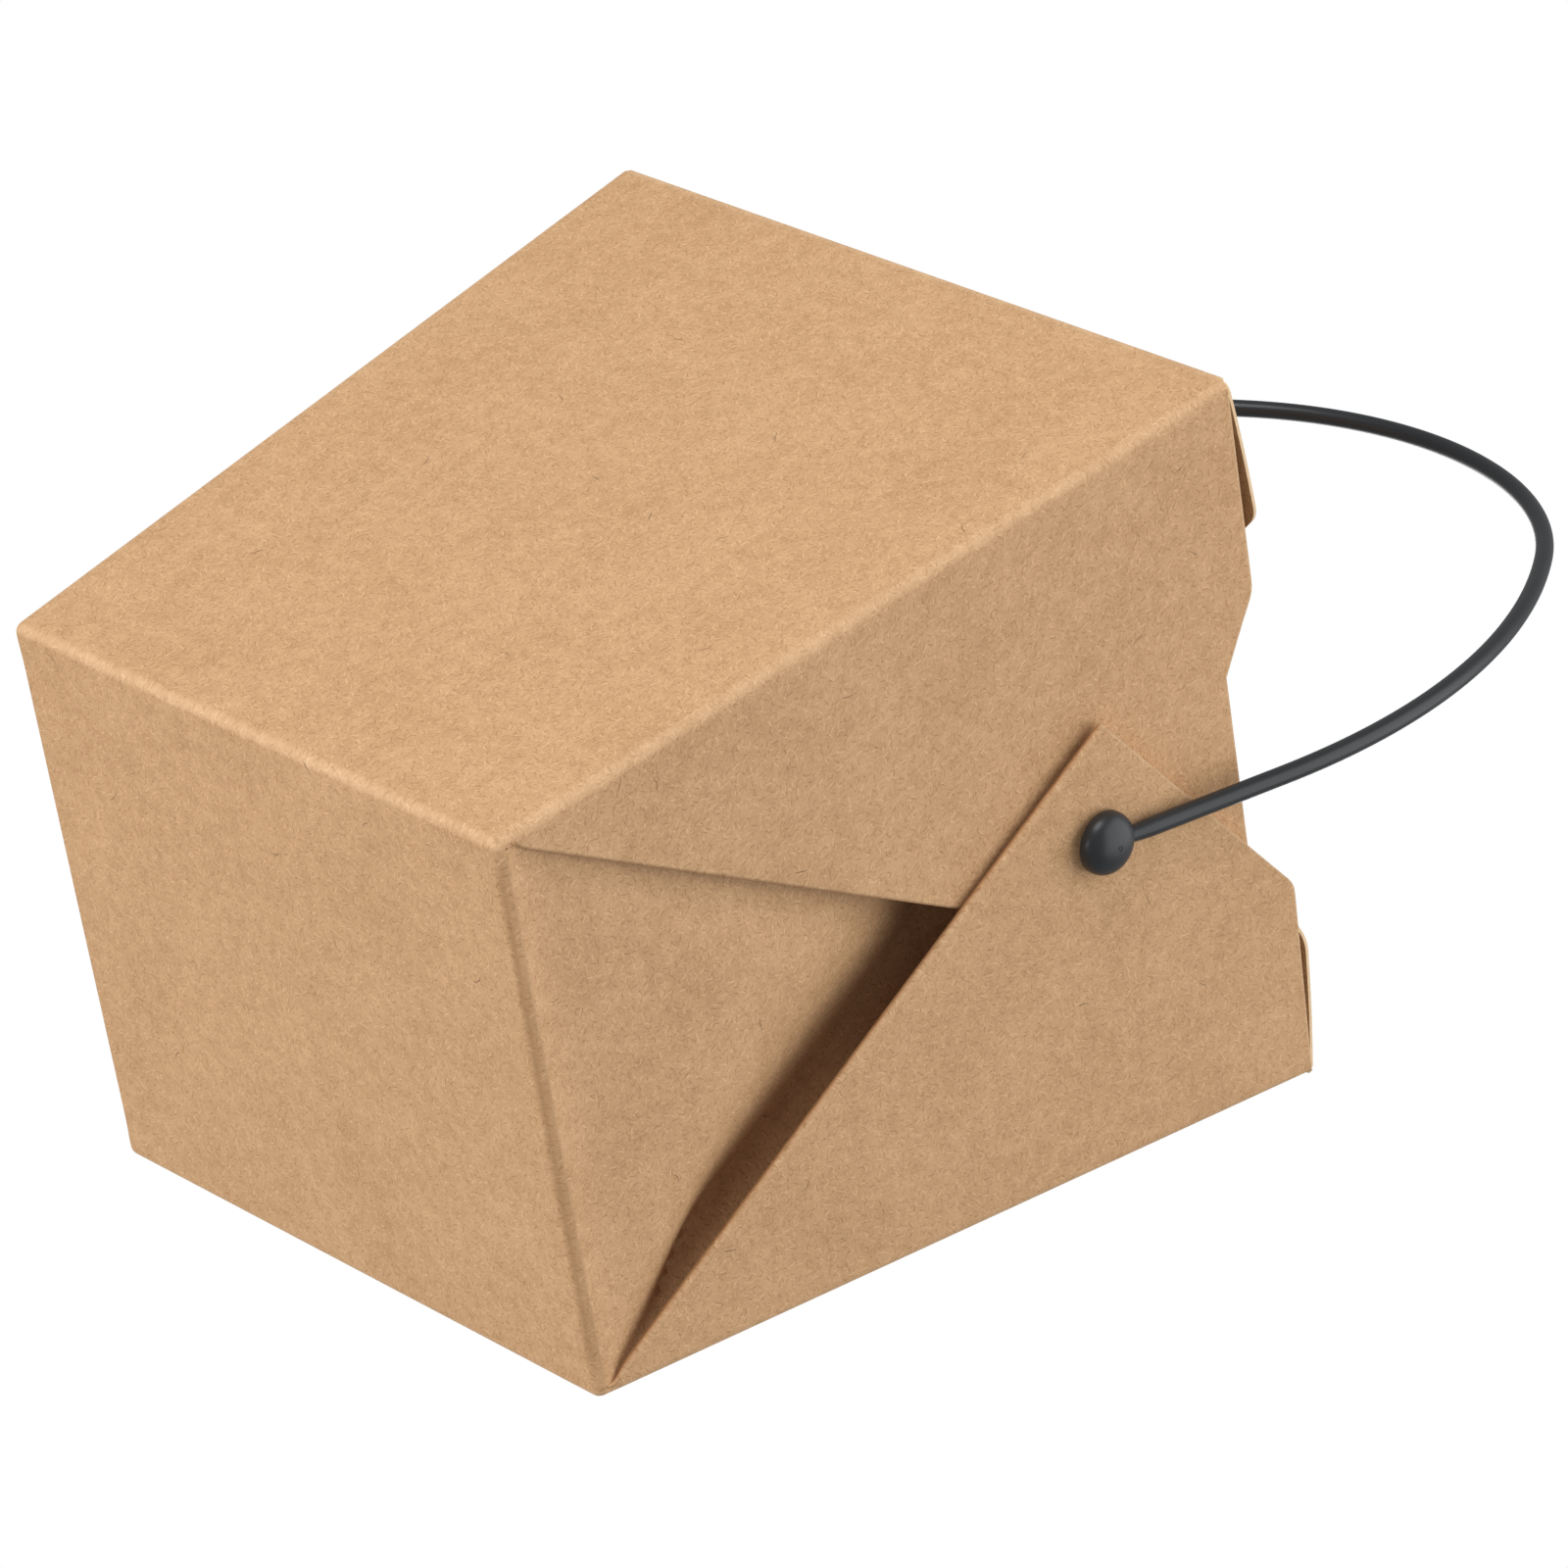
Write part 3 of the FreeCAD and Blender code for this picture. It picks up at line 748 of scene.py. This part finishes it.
class PailStageSettings(PropertyGroup):
    """Light and floor of the studio."""

    sky_strength: FloatProperty(
        name="Tent light", description="Strength of the light from all round", default=0.38, min=0.0, max=3.0)
    key_power: FloatProperty(
        name="Key light", description="Power of the soft light over the -Y wall",
        default=6.0, min=0.0, max=200.0, unit="POWER")
    low_power: FloatProperty(
        name="Low light", description="Power of the soft light under the bottom",
        default=7.4, min=0.0, max=200.0, unit="POWER")
    side_power: FloatProperty(
        name="Side light", description="Power of the soft light over the +X end",
        default=10.8, min=0.0, max=200.0, unit="POWER")
    back_power: FloatProperty(
        name="Back light", description="Power of the soft light over the +Y wall",
        default=5.5, min=0.0, max=200.0, unit="POWER")
    floor_colour: StringProperty(name="Floor colour", description="sRGB hex colour of the floor", default="#F2F1EF")


class PAIL_OT_carton(Operator):
    """Builds the walls, gussets, end panels and bottom of the carton"""

    bl_idname = "pail.carton"
    bl_label = "Carton"

    def execute(self, context):
        settings = context.scene.pail_board
        body = board_object("carton_walls", *folded_walls(settings), settings, board_materials(settings))
        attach(body, "carton")
        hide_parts("carton")
        return {"FINISHED"}


class PAIL_OT_flaps(Operator):
    """Builds the two dust flaps and the two lid flaps"""

    bl_idname = "pail.flaps"
    bl_label = "Flaps"

    def execute(self, context):
        settings = context.scene.pail_board
        materials = board_materials(settings)
        board = settings.thickness * 1000
        rim = HEIGHT - RIM_FOLD
        hinge_y = wall_y(HEIGHT) - board / 2
        low = (wall_y(rim) - board / 2, rim)
        fold_radius = 0.42

        inner_path = fold_path(
            [low, (hinge_y, HEIGHT + 0.1), (hinge_y - INNER_RUN / 2, INNER_LEVEL), (hinge_y - 80, INNER_LEVEL)],
            [fold_radius, 215.0], 10)
        rows = [0.15, 0.3, 0.45, 0.6, 0.75, 0.9, 1.05, 1.2]
        outline = flap_outline(INNER_LENGTH + 0.6, 54.25, 0, 0)
        _, total = along(inner_path, [0.0])
        slot_y = 12.0
        slot_at = float(np.interp(-slot_y, [-p[0] for p in inner_path], np.concatenate(
            [[0], np.cumsum(np.linalg.norm(np.diff(np.array(inner_path), axis=0), axis=1))])))
        slot = [(18.5, slot_at - 0.83), (18.5, slot_at + 0.83), (-18.5, slot_at + 0.83), (-18.5, slot_at - 0.83)]
        inner = lid_sheet("inner_lid_flap", [round_corner(outline, 1.5), slot], inner_path, rows, settings,
                          materials, 1, BOTTOM[1] / 2 + rim / math.cos(WALL_LEAN))
        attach(inner, "carton")

        slope = (OUTER_LEVEL - HINGE_Z + 0.05) / (OUTER_RUN / 2)
        root = (hinge_y - 0.43, HINGE_Z - 0.05 + 0.43 * slope)
        crown = (hinge_y + 0.03, HINGE_Z - 0.05)
        bend = fold_path([low, crown, root], [0.4], 12)
        count = 24
        points, faces, sheet_flat = [], [], []
        runs = [0.0] + list(np.cumsum([math.dist(a, b) for a, b in zip(bend, bend[1:])]))
        for (y, z), run in zip(bend, runs):
            for k in range(count + 1):
                x = 53.05 * (2 * k / count - 1)
                points.append((x, -y, z))
                sheet_flat.append((x, -(BOTTOM[1] / 2 + rim / math.cos(WALL_LEAN) + run)))
        for j in range(len(bend) - 1):
            for k in range(count):
                a = j * (count + 1) + k
                faces.append((a, a + 1, a + count + 2, a + count + 1))
        wear_and_edge_highlight = [0.5 * math.sin(math.pi * min(1.0, max(0.0, (r - 0.3) / 0.9))) for r in runs for _ in range(count + 1)]
        hinge = board_object("rim_fold", points, faces, sheet_flat, wear_and_edge_highlight, [0.0] * len(points), settings, materials)
        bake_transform(hinge)

        outer_path = fold_path(
            [root, (hinge_y - OUTER_RUN / 2, OUTER_LEVEL), (-12.0, OUTER_LEVEL),
             (-12.0 + 0.5, OUTER_LEVEL - TAB_DEPTH)],
            [240.0, 0.45], 10)
        _, total = along(outer_path, [0.0])
        length = total - TAB_DEPTH
        rows = [length - 0.6, length - 0.4, length - 0.2, length, length + 0.2, length + 0.4]
        outline = flap_outline(length, FLAP_HALF, TAB_HALF, TAB_DEPTH)
        outer = lid_sheet("outer_lid_flap", [round_corner(outline, 1.5)], outer_path, rows, settings, materials,
                          -1, BOTTOM[1] / 2 + HEIGHT + 2)
        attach(outer, "lid")
        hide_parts("lid_flap")

        dust_path = fold_path(
            [(end_x(PANEL_TOP) - board / 2 - 2 * PITCH, PANEL_TOP),
             (end_x(PANEL_TOP) - board / 2 - 2 * PITCH, PANEL_TOP + 0.5),
             (end_x(PANEL_TOP) - board / 2 - 2 * PITCH - DUST_LENGTH, PANEL_TOP + 0.5 - DUST_DROP)],
            [0.4], 8)
        outline = [(DUST_HALF, 0.0), (DUST_HALF, 0.8), (DUST_HALF - DUST_TAPER, DUST_LENGTH),
                   (-DUST_HALF + DUST_TAPER, DUST_LENGTH), (-DUST_HALF, 0.8), (-DUST_HALF, 0.0)]
        verts, tris = filled([outline], 3.0, [0.1, 0.25, 0.4, 0.55, 0.7])
        flat = np.array(verts)
        place, _ = along(dust_path, flat[:, 1])
        for sx in (1, -1):
            points = [(sx * x, y, z) for y, (x, z) in zip(flat[:, 0], place)]
            faces = [tuple(t) if sx < 0 else tuple(reversed(t)) for t in tris]
            name = "dust_flap_right" if sx > 0 else "dust_flap_left"
            flap = board_object(name, points, faces, [(sx * (200 + s), y) for y, s in flat],
                                np.zeros(len(points)), np.zeros(len(points)), settings, materials)
            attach(flap, "carton")
        return {"FINISHED"}


def lathe(profile, sides):
    """A closed solid of revolution about X, from (x, radius) points that start and end on the axis."""
    points, faces, rings = [], [], []
    for x, radius in profile:
        if radius < 1e-6:
            rings.append([len(points)])
            points.append((x, 0.0, 0.0))
            continue
        rings.append(list(range(len(points), len(points) + sides)))
        for k in range(sides):
            angle = 2 * math.pi * k / sides
            points.append((x, radius * math.cos(angle), radius * math.sin(angle)))
    for low, high in zip(rings, rings[1:]):
        for k in range(sides):
            corners = [low[k % len(low)], low[(k + 1) % len(low)], high[(k + 1) % len(high)], high[k % len(high)]]
            faces.append(list(dict.fromkeys(corners)))
    return points, faces


class PAIL_OT_handle(Operator):
    """Builds the moulded handle with its two buttons"""

    bl_idname = "pail.handle"
    bl_label = "Handle"

    def execute(self, context):
        settings = context.scene.pail_handle
        rod = settings.rod_radius * 1000
        sides = settings.rings
        seat = end_x(PIVOT_HEIGHT) + wall_y(PIVOT_HEIGHT) * math.tan(OVER_TILT) + 0.3
        lean = math.atan(math.hypot(math.tan(END_LEAN), math.tan(OVER_TILT)))
        leg_x = seat + rod / math.cos(lean)
        reach, side_radius, widest_reach = 115.6, 100.0, 36.5
        leg_top = widest_reach - side_radius * math.sin(lean)
        widest_x = leg_x + leg_top * math.tan(lean) + side_radius * (1 - math.cos(lean))
        sideways = side_radius - widest_x
        below = widest_reach + side_radius - reach
        crown_radius = side_radius - (sideways ** 2 + below ** 2) / (2 * below)
        crown_z = reach - crown_radius
        shoulder = math.atan2(crown_z - widest_reach, sideways)
        line = [(leg_x + z * math.tan(lean), z) for z in np.linspace(0.6, leg_top, 24)]
        for angle in np.linspace(-lean, shoulder, 40)[1:]:
            line.append((-sideways + side_radius * math.cos(angle), widest_reach + side_radius * math.sin(angle)))
        for angle in np.linspace(shoulder, math.pi / 2, 36)[1:]:
            line.append((crown_radius * math.cos(angle), crown_z + crown_radius * math.sin(angle)))
        line = np.array(line + [(-x, z) for x, z in reversed(line[:-1])])
        tangent = np.gradient(line, axis=0)
        tangent /= np.linalg.norm(tangent, axis=1, keepdims=True)
        points, faces = [], []
        for (x, z), (tx, tz) in zip(line, tangent):
            thick = (rod - 0.014) * (0.84 + 0.16 * ease((z - 2.8) / 4.0))
            for k in range(sides):
                angle = 2 * math.pi * k / sides
                out = thick * math.cos(angle)
                points.append((x + tz * out, thick * math.sin(angle), z - tx * out))
        for j in range(len(line) - 1):
            for k in range(sides):
                a, b = j * sides + k, j * sides + (k + 1) % sides
                faces.append([a, a + sides, b + sides, b])
        faces.append(list(range(sides)))
        faces.append([(len(line) - 1) * sides + k for k in reversed(range(sides))])
        slope = math.tan(lean)
        radius = 4.05
        edge_x = seat + radius * slope
        lip_x = edge_x + 0.5
        crown_x = lip_x + 2.5
        inner_face = end_x(PIVOT_HEIGHT) - 2 * PITCH - 0.2 - 0.45
        head_x = inner_face - 3.0 * math.tan(END_LEAN) - 0.3
        profile = [(head_x - 1.4, 0.0), (head_x - 1.4, 1.8), (head_x - 1.3, 2.0), (head_x - 0.15, 2.9),
                   (head_x, 3.0), (head_x, 1.6), (seat, 1.6), (edge_x - 0.02, radius - 0.25),
                   (edge_x + 0.04, radius - 0.1), (edge_x + 0.16, radius), (lip_x - 0.03, radius)]
        sag = crown_x - lip_x
        for step in range(1, 25):
            angle = math.pi / 2 * step / 24
            profile.append((lip_x + sag * math.sin(angle) ** 0.92, radius * math.cos(angle) ** 0.86))
        profile[-1:] = [(crown_x - 0.01, 0.42), (crown_x - 0.08, 0.36), (crown_x - 0.08, 0.22), (crown_x, 0.18),
                        (crown_x, 0.0)]
        lathe_points, lathe_faces = lathe(profile, 64)
        for sx in (1, -1):
            base = len(points)
            points += [(sx * x, y, z) for x, y, z in lathe_points]
            for face in lathe_faces:
                face = [base + k for k in face]
                faces.append(face if sx > 0 else face[::-1])
        mesh = bpy.data.meshes.new("handle_moulding")
        mesh.from_pydata([Vector(p) * MM for p in points], [], faces)
        turn = Matrix.Rotation(-settings.rest_lean, 4, "X")
        mesh.transform(Matrix.Translation((0, 0, PIVOT_HEIGHT * MM)) @ turn)
        piece = bpy.data.objects.new("handle_moulding", mesh)
        context.scene.collection.objects.link(piece)
        mesh.materials.append(named_material("polypropylene_moulded_black", moulded_plastic, settings))
        shaped = bmesh.new()
        shaped.from_mesh(mesh)
        bmesh.ops.recalc_face_normals(shaped, faces=shaped.faces)
        shaped.to_mesh(mesh)
        shaped.free()
        mesh.shade_smooth()
        mesh.set_sharp_from_angle(angle=math.radians(38))
        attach(piece, "handle")
        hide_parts("handle")
        return {"FINISHED"}


class PAIL_OT_stage(Operator):
    """Sets up the pale floor, the soft studio light and the camera"""

    bl_idname = "pail.stage"
    bl_label = "Stage"

    def execute(self, context):
        settings = context.scene.pail_stage
        scene = context.scene
        scene.view_settings.view_transform = "Standard"
        scene.view_settings.look = "None"

        world = bpy.data.worlds.new("light_tent")
        world.use_nodes = True
        tree = world.node_tree
        tree.nodes.clear()
        path = add_node(tree, "ShaderNodeLightPath")
        tent = add_node(tree, "ShaderNodeBackground", {"Color": (1, 1, 1, 1), "Strength": settings.sky_strength})
        seen = add_node(tree, "ShaderNodeBackground", {"Color": (1, 1, 1, 1), "Strength": 1.0})
        mix = add_node(tree, "ShaderNodeMixShader", None, {0: path.outputs["Is Camera Ray"], 1: tent.outputs[0],
                                                           2: seen.outputs[0]})
        add_node(tree, "ShaderNodeOutputWorld", None, {"Surface": mix.outputs[0]})
        scene.world = world

        mesh = bpy.data.meshes.new("floor")
        mesh.from_pydata([(-4, -4, 0), (4, -4, 0), (4, 4, 0), (-4, 4, 0)], [], [(0, 1, 2, 3)])
        floor = bpy.data.objects.new("floor", mesh)
        scene.collection.objects.link(floor)
        material, tree, shader = new_material("paper_sweep_matt")
        shader.inputs["Base Color"].default_value = linear(settings.floor_colour)
        shader.inputs["Roughness"].default_value = 0.95
        shader.inputs["Emission Color"].default_value = linear(settings.floor_colour)
        shader.inputs["Emission Strength"].default_value = 0.1
        side = add_node(tree, "ShaderNodeNewGeometry")
        clear = add_node(tree, "ShaderNodeBsdfTransparent")
        output = next(n for n in tree.nodes if n.type == "OUTPUT_MATERIAL")
        one_sided = add_node(tree, "ShaderNodeMixShader", None, {
            0: side.outputs["Backfacing"], 1: shader.outputs[0], 2: clear.outputs[0]})
        tree.links.new(one_sided.outputs[0], output.inputs["Surface"])
        mesh.materials.append(material)
        floor.visible_diffuse = False
        floor.visible_glossy = False
        floor.visible_transmission = False
        floor.visible_shadow = False

        for name, place, size, power in (
            ("key_softbox", (0.16, -1.08, -0.06), 0.6, settings.key_power),
            ("low_softbox", (-0.28, -0.28, -1.0), 0.6, settings.low_power),
            ("side_softbox", (0.85, -0.05, 0.74), 1.5, settings.side_power),
            ("back_softbox", (-0.75, 0.85, 0.45), 0.8, settings.back_power),
        ):
            lamp = bpy.data.lights.new(name, "AREA")
            lamp.energy = power
            lamp.size = size
            light = bpy.data.objects.new(name, lamp)
            light.location = place
            aim = Vector((0, 0, 0.06)) - Vector(place)
            light.rotation_mode = "QUATERNION"
            light.rotation_quaternion = aim.to_track_quat("-Z", "Y")
            scene.collection.objects.link(light)

        lens = bpy.data.cameras.new("camera")
        lens.sensor_width = 36.0
        lens.lens = 166.05
        lens.clip_start, lens.clip_end = 0.05, 20.0
        camera = bpy.data.objects.new("camera", lens)
        right = Vector((0.67566, 0.13953, 0.72389))
        upward = Vector((-0.28980, -0.85260, 0.43483))
        back = right.cross(upward)
        axes = Matrix((right, upward, back)).transposed().to_4x4()
        camera.matrix_world = Matrix.Translation((0.61476, -0.44834, -0.40795)) @ axes
        scene.collection.objects.link(camera)
        scene.camera = camera
        return {"FINISHED"}


class PAIL_PT_sidebar(Panel):
    """Lists the pail's settings and its building steps"""

    bl_idname = "PAIL_PT_sidebar"
    bl_label = "Food Pail"
    bl_space_type = "VIEW_3D"
    bl_region_type = "UI"
    bl_category = "Food Pail"

    def draw(self, context):
        for group in ("pail_board", "pail_handle", "pail_stage"):
            settings = getattr(context.scene, group)
            box = self.layout.box()
            for name in settings.bl_rna.properties.keys():
                if name not in ("rna_type", "name"):
                    box.prop(settings, name)
        for step in STEPS:
            self.layout.operator(step.bl_idname)


GROUPS = {
    "pail_board": PailBoardSettings,
    "pail_handle": PailHandleSettings,
    "pail_stage": PailStageSettings,
}
STEPS = (PAIL_OT_stage, PAIL_OT_carton, PAIL_OT_flaps, PAIL_OT_handle)


def register():
    for name, group in GROUPS.items():
        bpy.utils.register_class(group)
        setattr(bpy.types.Scene, name, PointerProperty(type=group))
    for cls in STEPS + (PAIL_PT_sidebar,):
        bpy.utils.register_class(cls)


def unregister():
    for cls in (PAIL_PT_sidebar,) + STEPS[::-1]:
        bpy.utils.unregister_class(cls)
    for name, group in GROUPS.items():
        delattr(bpy.types.Scene, name)
        bpy.utils.unregister_class(group)


def main():
    """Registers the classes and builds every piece."""
    register()
    for o in [o for o in bpy.context.scene.objects if o.name in ("Cube", "Light", "Camera")]:
        bpy.data.objects.remove(o)
    bpy.ops.pail.stage()
    bpy.ops.pail.carton()
    bpy.ops.pail.flaps()
    bpy.ops.pail.handle()


if __name__ == "__main__":
    main()
